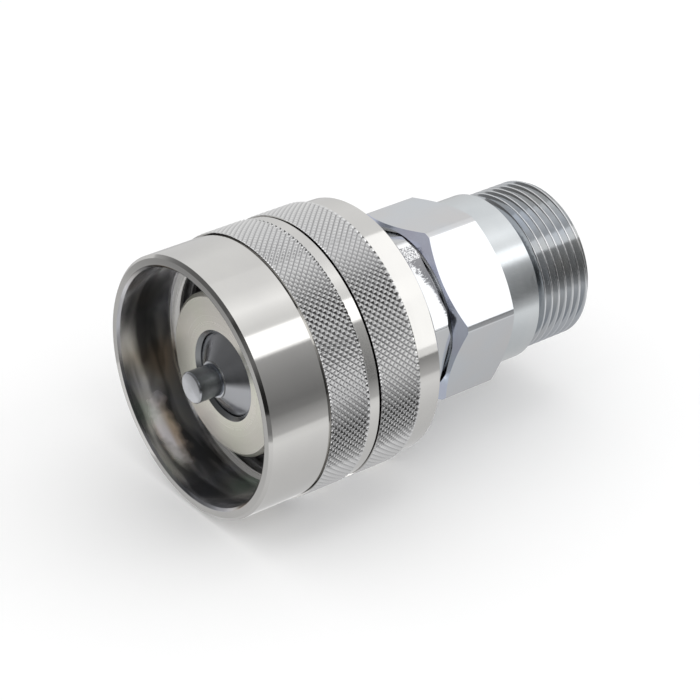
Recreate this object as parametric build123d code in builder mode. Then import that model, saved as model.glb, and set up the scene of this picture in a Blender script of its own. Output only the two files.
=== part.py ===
"""Screw-to-connect hydraulic quick coupling: the half that carries the threaded sleeve.

The axis is X. Stations are distances from the mouth of the sleeve, and the origin is on the
axis where the crests of the port thread start. +X points out of the port and +Z is up.
Sizes are in millimetres.
"""

import os
from math import cos, radians, sin, tan

from build123d import *

# Clearances
running_gap = 0.03        # faces and journals that turn on each other
slide_gap = 0.05          # the poppet stem in its bush, rings beside a moving wall
seat_gap = 0.25           # metal of the poppet head off the metal of its seat
thread_gap = 0.02         # between the flanks of the fixed threads
tool_reach = 1.0          # a grooving tool's reach past the surface that it cuts

# Sleeve thread and the socket that the mating half screws into
sleeve_thread_diameter = 60.0
sleeve_thread_pitch = 3.5
sleeve_thread_depth_ratio = 0.5413  # thread depth over pitch
sleeve_thread_length = 16.5
sleeve_wall = 4.05        # from the major radius of the thread to the tips of the knurl
counterbore_depth = 15.55
counterbore_step = 0.4    # counterbore over the major radius
mouth_step = 0.6          # mouth over the counterbore
relief_length = 2.7
relief_step = 0.4
thrust_web = 1.5
socket_gap = 7.1          # from the crest of the sleeve thread to the nose
lead_in = 1.2

# Outside of the sleeve
mouth_chamfer = 0.75
front_band_length = 16.85
front_band_drop = 0.55    # each band under the tips of the knurl
knurl_groove_width = 0.5
knurl_groove_drop = 0.95
front_knurl_length = 11.5
middle_band_length = 2.9
middle_band_drop = 0.4
parting_gap = 0.6
rear_band_length = 7.1
rear_band_drop = 1.0
knurl_chamfer = 0.3
edge_break = 0.5

# Lock ring, screwed over the rear of the sleeve
spigot_overhang = 0.24    # spigot past the race on the flange
lock_ring_wall = 2.45     # under the knurl
spigot_wall = 2.2
lock_ring_end_wall = 4.75

# Ball bearing and thrust washer
thrust_washer = 1.0
race_thickness = 1.2
race_groove = 0.3
ball_diameter = 3.5
ball_count = 20
ball_gap = 0.04
race_rim = 0.65           # race outside the balls
cage_rim = 0.5
cage_thickness = 1.4
flange_length = 3.7
flange_drop = 0.3         # flange under the races

# Valve body
nose_setback = 10.15
nose_edge = 0.9
nose_wall = 5.2
nose_hole_chamfer = 0.9
seat_rise = 5.05          # from the nose hole to the chamber
seat_land = 2.55          # straight stretch of the nose hole
seat_angle = 45.0
shank_wall = 6.0          # from the shank to the body thread
body_hex_flats = 41.0
body_hex_turn = 45.0      # a corner's angle about the axis, from +Y towards +Z
body_hex_corner_drop = 1.1
body_hex_stand_off = 0.85
body_hex_length = 11.15
body_hex_chamfer = 1.4

# Rings in grooves
ring_section = 2.4
ring_squeeze = 0.02
backup_thickness = 1.2
groove_side_gap = 0.05
nose_groove_setback = 11.0
drag_ring_section = 1.9
wiper_section = 1.9
wiper_setback = 1.4
adapter_ring_section = 1.9

# Poppet
pin_diameter = 8.14
pin_setback = 0.8
pin_length = 6.9
pin_edge = 0.35
pin_flange_step = 0.6
pin_flange_length = 0.35
poppet_recess = 1.3
poppet_front_gap = 0.19   # head in the nose hole
poppet_front_land = 2.3
poppet_seal_setback = 1.5
poppet_seal_width = 1.9
poppet_seal_depth = 4.2
poppet_rim = 1.4          # chamber wall to the rim of the poppet
poppet_disc_length = 3.6
poppet_spigot_diameter = 9.0
stem_diameter = 8.0
stem_root = 1.0           # cone between the disc and the stem
stem_overhang = 0.2
poppet_travel = 8.0
spring_spare = 1.25       # spring left unclosed when the poppet is fully back

# Guide, bush, snap ring and spring
guide_step = 0.9          # guide seat over the chamber
guide_length = 4.2
guide_rim_wall = 2.8
guide_hub_rim = 0.5       # hub outside the spring
guide_hub_flange = 1.6
guide_hub_tail = 1.0
guide_tail_wall = 1.2     # hub outside its bush, at the tail
guide_leg_width = 4.0
guide_leg_count = 4
bush_wall = 1.4
bush_flange = 0.9
snap_ring_width = 1.15
snap_ring_wall = 2.4
snap_ring_gap_angle = 50.0
snap_groove_depth = 1.0
spring_wire = 2.0
spring_turns = 5.0
spring_radius = 8.3
spring_recess = 0.8

# Port adapter
seal_bore_step = 0.5      # seal bore over the guide seat
seal_bore_length = 5.2
body_thread_step = 0.8    # body thread over the seal bore
contact_land = 0.8
contact_land_wall = 1.6
adapter_hex_flats = 44.8
adapter_hex_turn = 49.8
adapter_hex_corner = 2.95  # corners turned to this much over half the flats
adapter_hex_face_drop = 0.7
adapter_hex_length = 18.8
hex_chamfer_angle = 30.0
neck_drop = 0.35          # neck under half the flats
neck_length = 9.1
port_thread_diameter = 41.91
port_thread_length = 18.65
port_thread_chamfer = 1.4
port_relief_depth = 1.65  # under the crests, next to the shoulder
port_relief_length = 1.6
port_relief_run_out = 1.3
port_bore_wall = 2.785    # from the adapter's ring groove to the bore
port_cone_depth = 3.0
port_cone_angle = 30.0

# Radii that follow, from the sleeve inwards
thread_major = sleeve_thread_diameter / 2
thread_minor = thread_major - sleeve_thread_depth_ratio * sleeve_thread_pitch
counterbore_r = thread_major + counterbore_step
mouth_r = counterbore_r + mouth_step
relief_r = thread_major + relief_step
knurl_r = thread_major + sleeve_wall
front_band_r = knurl_r - front_band_drop
middle_band_r = knurl_r - middle_band_drop
rear_band_r = knurl_r - rear_band_drop
knurl_groove_r = knurl_r - knurl_groove_drop
lock_ring_bore_r = knurl_r - lock_ring_wall
spigot_r = lock_ring_bore_r - thread_gap
race_bore_r = spigot_r - spigot_wall
race_outer_r = race_bore_r - slide_gap
ball_r = ball_diameter / 2
ball_circle_r = race_outer_r - race_rim - ball_r
race_inner_r = ball_circle_r - ball_r - race_rim
shank_r = race_inner_r - slide_gap
flange_r = race_outer_r - flange_drop
nose_r = thread_minor - socket_gap
chamber_r = nose_r - nose_wall
nose_hole_r = chamber_r - seat_rise
guide_r = chamber_r + guide_step
seal_bore_r = guide_r + seal_bore_step
body_thread_r = min(seal_bore_r + body_thread_step, shank_r - shank_wall)
port_bore_r = seal_bore_r - thread_gap - adapter_ring_section - port_bore_wall
port_thread_r = port_thread_diameter / 2
adapter_half_flats = adapter_hex_flats / 2
adapter_corner_r = adapter_half_flats + adapter_hex_corner
neck_r = adapter_half_flats - neck_drop

# Stations that follow, from the mouth to the port
thread_start = counterbore_depth
relief_start = thread_start + sleeve_thread_length
web_start = relief_start + relief_length
thrust_face = web_start + thrust_web
knurl_groove_start = front_band_length
front_knurl_start = knurl_groove_start + knurl_groove_width
middle_band_start = front_knurl_start + front_knurl_length
sleeve_skin_end = middle_band_start + middle_band_length
lock_ring_start = sleeve_skin_end + parting_gap
flange_start = thrust_face + thrust_washer + 2 * running_gap
flange_end = flange_start + flange_length
body_race_end = flange_end + race_thickness
spigot_end = body_race_end + spigot_overhang
ball_station = body_race_end - race_groove + ball_gap + ball_r
sleeve_race_start = ball_station + ball_r + ball_gap - race_groove
sleeve_race_end = sleeve_race_start + race_thickness
sleeve_end = sleeve_race_end + lock_ring_end_wall
rear_band_start = sleeve_end - rear_band_length
body_hex_start = sleeve_end + body_hex_stand_off
body_end = body_hex_start + body_hex_length
adapter_hex_start = body_end + contact_land
adapter_hex_end = adapter_hex_start + adapter_hex_length
port_shoulder = adapter_hex_end + neck_length
port_relief_end = port_shoulder + port_relief_length
port_crests_start = port_relief_end + port_relief_run_out
port_end = port_shoulder + port_thread_length

nose_bore_start = nose_setback + nose_hole_chamfer
seat_start = nose_bore_start + seat_land
seat_end = seat_start + seat_rise / tan(radians(seat_angle))
pin_base = pin_setback + pin_length
poppet_edge = nose_setback + poppet_recess
poppet_cone_start = poppet_edge + poppet_front_land
seal_start = poppet_cone_start + poppet_seal_setback
seal_end = seal_start + poppet_seal_width
disc_end = seal_end + poppet_disc_length
spring_solid = (spring_turns + 1) * spring_wire
guide_start = disc_end + poppet_travel + spring_solid + spring_spare
guide_end = guide_start + guide_length
snap_ring_start = guide_end + running_gap
snap_ring_end = snap_ring_start + snap_ring_width
seal_bore_start = snap_ring_end + 2 * running_gap
seal_bore_end = seal_bore_start + seal_bore_length


def x(station):
    """Place along X of a station, which is measured from the mouth."""
    return station - port_crests_start


def turn(*corners, mode=Mode.ADD):
    """A body of revolution from its half section, given as (station, radius) corners."""
    with BuildSketch(Plane.XZ) as half_section:
        with BuildLine():
            Polyline(*[(x(station), radius) for station, radius in corners], close=True)
        make_face()
    revolve(half_section.sketch, axis=Axis.X, mode=mode)


def bore(start, end, radius):
    """A round hole on the axis, from one station to another."""
    turn((start, 0), (end, 0), (end, radius), (start, radius), mode=Mode.SUBTRACT)


def groove(start, end, inner, outer):
    """A square groove between two radii."""
    turn((start, inner), (end, inner), (end, outer), (start, outer), mode=Mode.SUBTRACT)


def tube(start, end, inner, outer):
    """A plain ring between two stations and two radii."""
    turn((start, inner), (end, inner), (end, outer), (start, outer))


def hexagon(start, end, half_flats, corner_angle):
    """A hexagonal bar between two stations, with one corner at an angle from +Y towards +Z."""
    with BuildSketch(Plane.YZ.offset(x(start))) as section:
        RegularPolygon(half_flats, 6, major_radius=False, rotation=corner_angle)
    extrude(section.sketch, amount=end - start)


def round_ring(station, radius, section):
    """A ring of round section: its centre's station and radius, and its thickness."""
    with BuildSketch(Plane.XZ) as cord:
        with Locations((x(station), radius)):
            Circle(section / 2)
    revolve(cord.sketch, axis=Axis.X)


def keep(part, name):
    """Labels a finished piece and writes it."""
    part.label = name
    export_step(part, f"parts/{name}.step")


os.makedirs("parts", exist_ok=True)

# Front sleeve: mouth, socket thread, front knurl and the spigot for the lock ring
with BuildPart() as coupling_sleeve:
    turn(
        (0, mouth_r),
        (0, front_band_r - mouth_chamfer),
        (mouth_chamfer, front_band_r),
        (knurl_groove_start, front_band_r),
        (knurl_groove_start, knurl_groove_r),
        (front_knurl_start, knurl_groove_r),
        (front_knurl_start, knurl_r - knurl_chamfer),
        (front_knurl_start + knurl_chamfer, knurl_r),
        (middle_band_start - knurl_chamfer, knurl_r),
        (middle_band_start, middle_band_r),
        (sleeve_skin_end - edge_break, middle_band_r),
        (sleeve_skin_end, middle_band_r - edge_break),
        (sleeve_skin_end, spigot_r),
        (spigot_end, spigot_r),
        (spigot_end, race_bore_r),
        (thrust_face, race_bore_r),
        (thrust_face, thread_minor),
        (web_start, thread_minor),
        (web_start, relief_r),
        (relief_start, relief_r),
        (relief_start, thread_minor),
        (thread_start + lead_in, thread_minor),
        (thread_start, thread_minor + lead_in),
        (thread_start, counterbore_r),
        (mouth_step, counterbore_r),
    )
keep(coupling_sleeve.part, "coupling_sleeve")

# Lock ring: rear knurl, plain rear band, wiper groove
wiper_start = sleeve_race_end + wiper_setback
wiper_end = wiper_start + wiper_section + 2 * groove_side_gap
wiper_groove_r = shank_r + slide_gap + wiper_section + groove_side_gap
with BuildPart() as sleeve_lock_ring:
    turn(
        (lock_ring_start, lock_ring_bore_r),
        (lock_ring_start, knurl_r - knurl_chamfer),
        (lock_ring_start + knurl_chamfer, knurl_r),
        (rear_band_start - knurl_chamfer, knurl_r),
        (rear_band_start, rear_band_r),
        (sleeve_end - edge_break, rear_band_r),
        (sleeve_end, rear_band_r - edge_break),
        (sleeve_end, shank_r + slide_gap),
        (sleeve_race_end, shank_r + slide_gap),
        (sleeve_race_end, race_bore_r),
        (spigot_end, race_bore_r),
        (spigot_end, lock_ring_bore_r),
    )
    groove(wiper_start, wiper_end, shank_r, wiper_groove_r)
keep(sleeve_lock_ring.part, "sleeve_lock_ring")

with BuildPart() as sleeve_wiper_ring:
    round_ring(
        (wiper_start + wiper_end) / 2,
        shank_r + slide_gap + wiper_section / 2,
        wiper_section,
    )
keep(sleeve_wiper_ring.part, "sleeve_wiper_ring")

# Ball bearing: a race on the flange, a caged row of balls, a race on the lock ring
ball_tunnel_r = ball_r + ball_gap


def ball_tunnel():
    """The round groove that the balls run in."""
    with BuildSketch(Plane.XZ) as section:
        with Locations((x(ball_station), ball_circle_r)):
            Circle(ball_tunnel_r)
    revolve(section.sketch, axis=Axis.X, mode=Mode.SUBTRACT)


with BuildPart() as body_race:
    tube(flange_end, body_race_end, race_inner_r, race_outer_r)
    ball_tunnel()
keep(body_race.part, "body_race")

with BuildPart() as sleeve_race:
    tube(sleeve_race_start, sleeve_race_end, race_inner_r, race_outer_r)
    ball_tunnel()
keep(sleeve_race.part, "sleeve_race")

with BuildPart() as bearing_balls:
    with Locations(Plane.YZ.offset(x(ball_station))):
        with PolarLocations(ball_circle_r, ball_count):
            Sphere(ball_r)
keep(bearing_balls.part, "bearing_balls")

with BuildPart() as bearing_cage:
    tube(
        ball_station - cage_thickness / 2,
        ball_station + cage_thickness / 2,
        ball_circle_r - ball_r - cage_rim,
        ball_circle_r + ball_r + cage_rim,
    )
    with Locations(Plane.YZ.offset(x(ball_station))):
        with PolarLocations(ball_circle_r, ball_count):
            Hole(ball_r + slide_gap)
keep(bearing_cage.part, "bearing_cage")

with BuildPart() as thrust_ring:
    tube(
        thrust_face + running_gap,
        thrust_face + running_gap + thrust_washer,
        nose_r + slide_gap,
        race_outer_r,
    )
keep(thrust_ring.part, "thrust_ring")

# Valve body: nose, flange, shank and hexagon, with the seat and the valve chamber inside
nose_groove_start = nose_setback + nose_groove_setback
nose_ring_width = ring_section + 2 * groove_side_gap
nose_groove_end = nose_groove_start + nose_ring_width + backup_thickness
nose_groove_r = nose_r - ring_section - 2 * ring_squeeze
drag_groove_start = (flange_start + flange_end - drag_ring_section) / 2 - groove_side_gap
drag_groove_end = drag_groove_start + drag_ring_section + 2 * groove_side_gap
drag_ring_r = race_bore_r - slide_gap - drag_ring_section / 2
body_corner_r = shank_r - body_hex_corner_drop
hex_face_r = body_corner_r - body_hex_chamfer
with BuildPart() as valve_body:
    hexagon(body_hex_start, body_end, body_hex_flats / 2, body_hex_turn)
    turn(
        (body_hex_start, 0),
        (body_end, 0),
        (body_end, hex_face_r),
        (body_end - body_hex_chamfer, body_corner_r),
        (body_hex_start, body_corner_r),
        mode=Mode.INTERSECT,
    )
    turn(
        (nose_setback, 0),
        (nose_setback, nose_r - nose_edge),
        (nose_setback + nose_edge, nose_r),
        (flange_start, nose_r),
        (flange_start, flange_r),
        (flange_end, flange_r),
        (flange_end, shank_r),
        (body_hex_start, shank_r),
        (body_hex_start, 0),
    )
    turn(
        (nose_setback, 0),
        (nose_setback, nose_hole_r + nose_hole_chamfer),
        (nose_bore_start, nose_hole_r),
        (seat_start, nose_hole_r),
        (seat_end, chamber_r),
        (guide_start, chamber_r),
        (guide_start, guide_r),
        (seal_bore_start, guide_r),
        (seal_bore_start, seal_bore_r),
        (seal_bore_end, seal_bore_r),
        (seal_bore_end, body_thread_r),
        (body_end, body_thread_r),
        (body_end, 0),
        mode=Mode.SUBTRACT,
    )
    groove(guide_end, seal_bore_start, guide_r - tool_reach, guide_r + snap_groove_depth)
    groove(nose_groove_start, nose_groove_end, nose_groove_r, nose_r + tool_reach)
    groove(
        drag_groove_start,
        drag_groove_end,
        drag_ring_r - drag_ring_section / 2 - ring_squeeze,
        flange_r + tool_reach,
    )
keep(valve_body.part, "valve_body")

with BuildPart() as nose_o_ring:
    round_ring(
        nose_groove_start + groove_side_gap + ring_section / 2,
        nose_r - ring_squeeze - ring_section / 2,
        ring_section,
    )
keep(nose_o_ring.part, "nose_o_ring")

with BuildPart() as nose_backup_ring:
    tube(
        nose_groove_end - backup_thickness,
        nose_groove_end,
        nose_groove_r + ring_squeeze,
        nose_r - ring_squeeze,
    )
keep(nose_backup_ring.part, "nose_backup_ring")

with BuildPart() as sleeve_drag_ring:
    round_ring(
        (drag_groove_start + drag_groove_end) / 2,
        drag_ring_r,
        drag_ring_section,
    )
keep(sleeve_drag_ring.part, "sleeve_drag_ring")

# Poppet: head with the pin, clamped seal, and the disc with its stem
pin_r = pin_diameter / 2
pin_flange_r = pin_r + pin_flange_step
poppet_front_r = nose_hole_r - poppet_front_gap
rim_r = chamber_r - poppet_rim
seal_root_r = nose_hole_r - poppet_seal_depth
seat_slope = tan(radians(seat_angle))
seat_allowance = seat_gap / cos(radians(seat_angle))
seal_allowance = slide_gap / cos(radians(seat_angle))
spigot_screw_r = poppet_spigot_diameter / 2
stem_r = stem_diameter / 2


def seat_radius(station, allowance):
    """Radius of the conical seat at a station, less an allowance."""
    return nose_hole_r + (station - seat_start) * seat_slope - allowance


with BuildPart() as poppet_head:
    turn(
        (pin_setback, 0),
        (pin_setback, pin_r - pin_edge),
        (pin_setback + pin_edge, pin_r),
        (pin_base - pin_flange_length, pin_r),
        (pin_base - pin_flange_length, pin_flange_r),
        (pin_base, pin_flange_r),
        (poppet_edge, poppet_front_r),
        (poppet_cone_start, poppet_front_r),
        (seal_start, min(seat_radius(seal_start, seat_allowance), rim_r)),
        (seal_start, seal_root_r),
        (seal_end, seal_root_r),
        (seal_end, spigot_screw_r),
        (disc_end, spigot_screw_r),
        (disc_end, 0),
    )
keep(poppet_head.part, "poppet_head")

with BuildPart() as poppet_seal:
    turn(
        (seal_start, seal_root_r + thread_gap),
        (seal_start, seat_radius(seal_start, seal_allowance)),
        (seal_end, min(seat_radius(seal_end, seal_allowance), rim_r)),
        (seal_end, seal_root_r + thread_gap),
    )
keep(poppet_seal.part, "poppet_seal")

stem_shoulder = disc_end + spring_recess
stem_end = guide_end + guide_hub_tail + stem_overhang
with BuildPart() as poppet_stem:
    disc_corner = min(seat_radius(seal_end, seat_allowance), rim_r)
    turn(
        (seal_end, spigot_screw_r + thread_gap),
        (seal_end, disc_corner),
        (seal_end + (rim_r - disc_corner) / seat_slope, rim_r),
        (disc_end, rim_r),
        (stem_shoulder, rim_r - spring_recess),
        (stem_shoulder, spring_radius + spring_wire),
        (disc_end, spring_radius + spring_wire / 2 + slide_gap),
        (disc_end, spigot_screw_r + stem_root),
        (stem_shoulder + stem_root, stem_r),
        (stem_end - pin_edge, stem_r),
        (stem_end, stem_r - pin_edge),
        (stem_end, 0),
        (disc_end, 0),
        (disc_end, spigot_screw_r + thread_gap),
    )
keep(poppet_stem.part, "poppet_stem")

# Guide with four legs, its bush, the snap ring and the spring
bush_outer_r = stem_r + slide_gap + bush_wall
guide_rim_r = guide_r - running_gap
hub_r = spring_radius + spring_wire / 2 + guide_hub_rim
hub_end = guide_end + guide_hub_tail
leg_inner = bush_outer_r + guide_tail_wall / 2
leg_outer = guide_rim_r - guide_rim_wall / 2
with BuildPart() as valve_guide:
    tube(guide_start, guide_end, guide_rim_r - guide_rim_wall, guide_rim_r)
    turn(
        (guide_start, 0),
        (guide_start, hub_r),
        (guide_start + guide_hub_flange, hub_r),
        (hub_end, bush_outer_r + guide_tail_wall),
        (hub_end, 0),
    )
    with BuildSketch(Plane.YZ.offset(x(guide_start))) as legs:
        with PolarLocations((leg_inner + leg_outer) / 2, guide_leg_count):
            Rectangle(leg_outer - leg_inner, guide_leg_width)
    extrude(legs.sketch, amount=guide_length)
    bore(guide_start, hub_end, bush_outer_r + running_gap)
    bore(guide_start, guide_start + bush_flange, bush_outer_r + bush_flange + running_gap)
keep(valve_guide.part, "valve_guide")

with BuildPart() as guide_bush:
    tube(guide_start + bush_flange, hub_end, stem_r + slide_gap, bush_outer_r)
    tube(guide_start, guide_start + bush_flange, stem_r + slide_gap, bush_outer_r + bush_flange)
keep(guide_bush.part, "guide_bush")

snap_outer_r = guide_r + snap_groove_depth - running_gap
with BuildPart() as guide_snap_ring:
    tube(snap_ring_start, snap_ring_end, snap_outer_r - snap_ring_wall, snap_outer_r)
    with BuildSketch(Plane.YZ.offset(x(snap_ring_start))) as opening:
        with BuildLine():
            reach = 2 * snap_outer_r
            half_opening = radians(snap_ring_gap_angle / 2)
            Polyline(
                (0, 0),
                (reach * sin(half_opening), -reach * cos(half_opening)),
                (-reach * sin(half_opening), -reach * cos(half_opening)),
                close=True,
            )
        make_face()
    extrude(opening.sketch, amount=snap_ring_width, mode=Mode.SUBTRACT)
keep(guide_snap_ring.part, "guide_snap_ring")

spring_start = disc_end + running_gap + spring_wire / 2
spring_end = guide_start - running_gap - spring_wire / 2
with BuildPart() as poppet_spring:
    with BuildLine() as coil:
        turns = Helix(
            pitch=(spring_end - spring_start) / spring_turns,
            height=spring_end - spring_start,
            radius=spring_radius,
            center=(x(spring_start), 0, 0),
            direction=(1, 0, 0),
        )
    with BuildSketch(Plane(origin=turns @ 0, z_dir=turns % 0)) as wire:
        Circle(spring_wire / 2)
    sweep(path=coil.line)
keep(poppet_spring.part, "poppet_spring")

# Port adapter: threaded spigot, hexagon, neck and port thread
spigot_plain_r = seal_bore_r - thread_gap
adapter_start = seal_bore_start + slide_gap
adapter_groove_end = seal_bore_end - 2 * groove_side_gap
adapter_groove_start = (
    adapter_groove_end - adapter_ring_section - 2 * groove_side_gap - backup_thickness
)
adapter_groove_r = spigot_plain_r - adapter_ring_section
chamfer_slope = tan(radians(hex_chamfer_angle))
front_face_r = adapter_half_flats - adapter_hex_face_drop
port_cone_r = port_bore_r + port_cone_depth
with BuildPart() as port_adapter:
    hexagon(adapter_hex_start, adapter_hex_end, adapter_half_flats, adapter_hex_turn)
    turn(
        (adapter_hex_start, 0),
        (adapter_hex_start, front_face_r),
        (adapter_hex_start + (adapter_corner_r - front_face_r) * chamfer_slope, adapter_corner_r),
        (adapter_hex_end - (adapter_corner_r - neck_r) * chamfer_slope, adapter_corner_r),
        (adapter_hex_end, neck_r),
        (adapter_hex_end, 0),
        mode=Mode.INTERSECT,
    )
    turn(
        (adapter_start, 0),
        (adapter_start, spigot_plain_r),
        (seal_bore_end, spigot_plain_r),
        (seal_bore_end + body_thread_step, body_thread_r - thread_gap),
        (body_end, body_thread_r - thread_gap),
        (body_end, body_thread_r + contact_land_wall),
        (adapter_hex_start, body_thread_r + contact_land_wall),
        (adapter_hex_start, 0),
    )
    turn(
        (adapter_hex_end, 0),
        (adapter_hex_end, neck_r),
        (port_shoulder, neck_r),
        (port_shoulder, port_thread_r - port_relief_depth),
        (port_relief_end, port_thread_r - port_relief_depth),
        (port_crests_start, port_thread_r),
        (port_end - port_thread_chamfer, port_thread_r),
        (port_end, port_thread_r - port_thread_chamfer),
        (port_end, 0),
    )
    turn(
        (adapter_start, 0),
        (adapter_start, port_bore_r),
        (port_end - port_cone_depth / tan(radians(port_cone_angle)), port_bore_r),
        (port_end, port_cone_r),
        (port_end, 0),
        mode=Mode.SUBTRACT,
    )
    groove(adapter_groove_start, adapter_groove_end, adapter_groove_r, spigot_plain_r + tool_reach)
keep(port_adapter.part, "port_adapter")

with BuildPart() as adapter_o_ring:
    round_ring(
        adapter_groove_start + groove_side_gap + adapter_ring_section / 2,
        adapter_groove_r + ring_squeeze / 2 + adapter_ring_section / 2,
        adapter_ring_section - ring_squeeze,
    )
keep(adapter_o_ring.part, "adapter_o_ring")

with BuildPart() as adapter_backup_ring:
    tube(
        adapter_groove_end - backup_thickness,
        adapter_groove_end,
        adapter_groove_r + ring_squeeze,
        spigot_plain_r,
    )
keep(adapter_backup_ring.part, "adapter_backup_ring")
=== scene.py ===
"""Looks of the screw-to-connect quick coupling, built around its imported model.

The axis is X. Stations are distances from the mouth of the sleeve, in millimetres, as a turner
would mark them on the bar. The row frame, in metres, starts where the port thread's crests do.
Angles about the axis are in degrees, from +Y towards +Z.
"""

from collections import namedtuple
from math import atan2, cos, hypot, pi, radians, sin, tan

import bmesh
import bpy
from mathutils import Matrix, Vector


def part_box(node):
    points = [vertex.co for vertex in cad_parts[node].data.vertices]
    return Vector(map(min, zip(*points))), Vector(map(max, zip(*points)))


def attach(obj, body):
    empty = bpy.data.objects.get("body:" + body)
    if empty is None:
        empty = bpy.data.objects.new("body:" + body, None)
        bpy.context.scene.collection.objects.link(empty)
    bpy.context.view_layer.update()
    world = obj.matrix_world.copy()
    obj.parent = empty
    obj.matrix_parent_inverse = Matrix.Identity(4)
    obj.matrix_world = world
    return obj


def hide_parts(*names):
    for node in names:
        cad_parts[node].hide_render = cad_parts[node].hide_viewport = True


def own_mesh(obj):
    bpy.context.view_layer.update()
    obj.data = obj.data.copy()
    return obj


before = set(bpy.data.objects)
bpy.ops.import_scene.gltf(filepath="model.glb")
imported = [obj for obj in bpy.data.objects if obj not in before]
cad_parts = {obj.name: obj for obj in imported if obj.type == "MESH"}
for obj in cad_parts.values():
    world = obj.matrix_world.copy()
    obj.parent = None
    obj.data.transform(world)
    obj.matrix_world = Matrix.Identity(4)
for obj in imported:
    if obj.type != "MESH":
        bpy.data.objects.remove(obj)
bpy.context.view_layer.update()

MM = 0.001
ROUND = 192               # steps round a plain turned surface
THREAD_STEPS = 96         # steps in a turn of a thread
EDGE_STEPS = 2            # facets across a rounded edge
SHARP = 32.0              # an edge that bends by more degrees is shaded sharp

# Stations and radii in millimetres. Most follow from a few: the knurl's radius, the sleeve
# thread, the nose and its hole, the two hexagons and the port thread.
KNURL_R = 34.05
SLEEVE_MAJOR_R = 30.0
SLEEVE_PITCH = 3.5
NOSE_R = 21.005
NOSE_HOLE_R = 10.755
BODY_FLATS = 41.0
ADAPTER_FLATS = 44.8
PORT_R = 20.955
PORT_PITCH = 2.309
THREAD_GAP = 0.02         # between the radii of two pieces that are screwed together

# Sleeve, from its mouth to the face that its thrust ring lies on
COUNTERBORE_R = SLEEVE_MAJOR_R + 0.4
COUNTERBORE_DEPTH = 15.55
MOUTH_R = COUNTERBORE_R + 0.6
MOUTH_CHAMFER = 0.75
SLEEVE_MINOR_R = 28.105
SLEEVE_LEAD_IN = 1.2
SLEEVE_THREAD_END = COUNTERBORE_DEPTH + 16.5
SLEEVE_RELIEF_R = SLEEVE_MAJOR_R + 0.4
SLEEVE_RELIEF_END = SLEEVE_THREAD_END + 2.7
THRUST_FACE = SLEEVE_RELIEF_END + 1.5

# Sleeve, outside
FRONT_BAND_R = KNURL_R - 0.55
FRONT_BAND_END = 16.85
KNURL_GROOVE_R = KNURL_R - 0.95
KNURL_START = FRONT_BAND_END + 0.5
FRONT_KNURL = (KNURL_START, KNURL_START + 11.5)
BAND_STEP = 0.15          # from the end of a knurl to the band behind it
MIDDLE_BAND_R = KNURL_R - 0.4
SKIN_END = 31.95
SKIN_CHAMFER = 0.2
SPIGOT_END = 42.45
SPIGOT_R = 31.58
RACE_BORE_R = 29.38

# Lock ring, behind a fine parting line
REAR_KNURL = (SKIN_END + 0.3, 44.04)
REAR_BAND_R = KNURL_R - 1.0
REAR_CHAMFER = 0.5
SLEEVE_END = 51.14
RACE_SEAT = SLEEVE_END - 4.75
WIPER_GROOVE = (RACE_SEAT + 1.4, RACE_SEAT + 3.4)
WIPER_GROOVE_R = 26.48
SHANK_R = 24.48
SHANK_GAP = 0.05

# Knurl: diamonds counted round the sleeve, and the depth of their grooves
KNURL_ROOT_R = KNURL_R - 0.5
DIAMONDS = 123
DIAMOND_PARTS = 4         # mesh steps across a diamond
KNURL_DEPTH = 0.45
KNURL_BLUNTING = 1.15     # over 1, the diamonds have flat points
KNURL_RUN_OUT = 0.4       # where the grooves fade at the band's edges
KNURL_LEAST_DEPTH = 0.15  # share of the depth that the grooves keep there
KNURL_CHAMFER = 0.15
VALLEY_SHADE = (0.06, 0.34) # over the root: where the painted shade in the grooves is full, and where it ends

# Groove of the sleeve thread
SLEEVE_GROOVE_WIDTH = 2.2
SLEEVE_GROOVE_ROOT = 0.45
SLEEVE_GROOVE_AT = (18.8, 12.1)   # station of its middle, at this angle
SLEEVE_TAP_TURNS = (-2, 4)        # where the tap starts and ends, in turns from there

# A patch of painted light low in the sleeve's bore, pale lilac with streaks of brown
LIGHT_PATCH_AT = (6.4, -50)         # station and angle of its middle
LIGHT_PATCH_REACH = (3.4, 21)       # from there along the axis, and in degrees round it

# Valve body
NOSE_START = 10.15
NOSE_EDGE = 0.9
NOSE_GROOVE = (NOSE_START + 11.0, NOSE_START + 14.7)
NOSE_GROOVE_R = NOSE_R - 2.44
FLANGE = (THRUST_FACE + 1.06, THRUST_FACE + 4.76)
FLANGE_R = 29.03
DRAG_GROOVE = (FLANGE[0] + 0.85, FLANGE[1] - 0.85)
DRAG_GROOVE_R = FLANGE_R - 1.62
BODY_HEX = (SLEEVE_END + 0.85, SLEEVE_END + 12.0)
BODY_HEX_CHAMFER = 1.4
BODY_CORNER_R = SHANK_R - 1.1
BODY_CORNER_AT = 45.0
BODY_EDGE = 0.12

# Bore of the body: each stretch is wider than the one before it
NOSE_HOLE_CHAMFER = 0.9
SEAT_START = 13.6
CHAMBER_R = NOSE_HOLE_R + 5.05
GUIDE = (42.0, 46.2)
GUIDE_R = CHAMBER_R + 0.9
SNAP_GROOVE_R = GUIDE_R + 1.0
SEAL_BORE = (47.44, 52.64)
SEAL_BORE_R = GUIDE_R + 0.5
BODY_THREAD_R = SEAL_BORE_R + 0.8

# Painted shadow on a flat of the body's hexagon along its rear edge, by the gap to the adapter,
# between two angles, and painted reflection streaks on the same flat
GAP_SHADOW_ANGLES = (117, 165)
GAP_SHADOW_FROM = (118, 4.2)    # angle, and how wide the painted shadow is there
GAP_SHADOW_TO = (142, 1.0)
REFLECTION_STREAK_ANGLES = (108, 121)
REFLECTION_STREAK_SETBACK = 3.2   # from the front of the hexagon

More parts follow.
